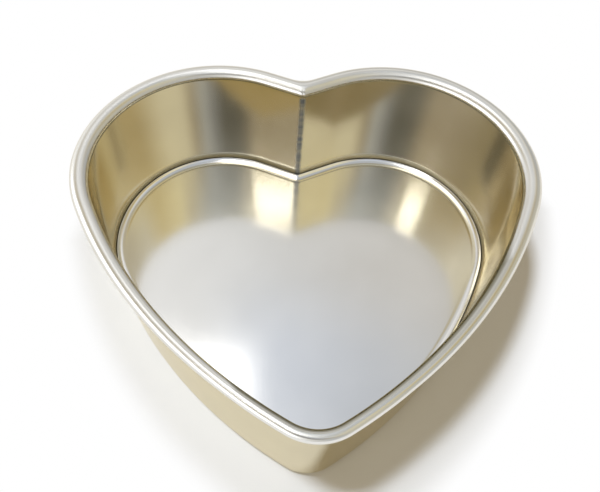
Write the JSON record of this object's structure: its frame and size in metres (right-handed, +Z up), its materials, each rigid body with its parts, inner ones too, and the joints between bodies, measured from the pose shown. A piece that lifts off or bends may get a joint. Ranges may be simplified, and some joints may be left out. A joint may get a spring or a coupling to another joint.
{
  "type": "heart cake tin",
  "caption": "Heart-shaped aluminium cake tin with a wired, curled rim and a loose base plate that is pushed up to free the cake.",
  "frame": {"origin": "on the surface that the tin stands on, under the middle of its outline", "axes": "+X across the heart to its right lobe, +Y from the tip to the cleft, +Z up to the rim"},
  "size_m": [0.167, 0.15, 0.053],
  "materials": {
    "ring_aluminium": "bright anodised, pale champagne",
    "wire_steel": "drawn, zinc plated",
    "base_aluminium": "bright anodised, softly hazed"
  },
  "bodies": {
    "tin": {"side_ring": "ring_aluminium", "rim_wire": "wire_steel"},
    "base": {"loose_base": "base_aluminium"}
  },
  "joints": [
    {"name": "base_lift", "type": "slide", "parent": "tin", "child": "base", "axis": [0, 0, 1], "range_m": [0, 0.053]}
  ]
}
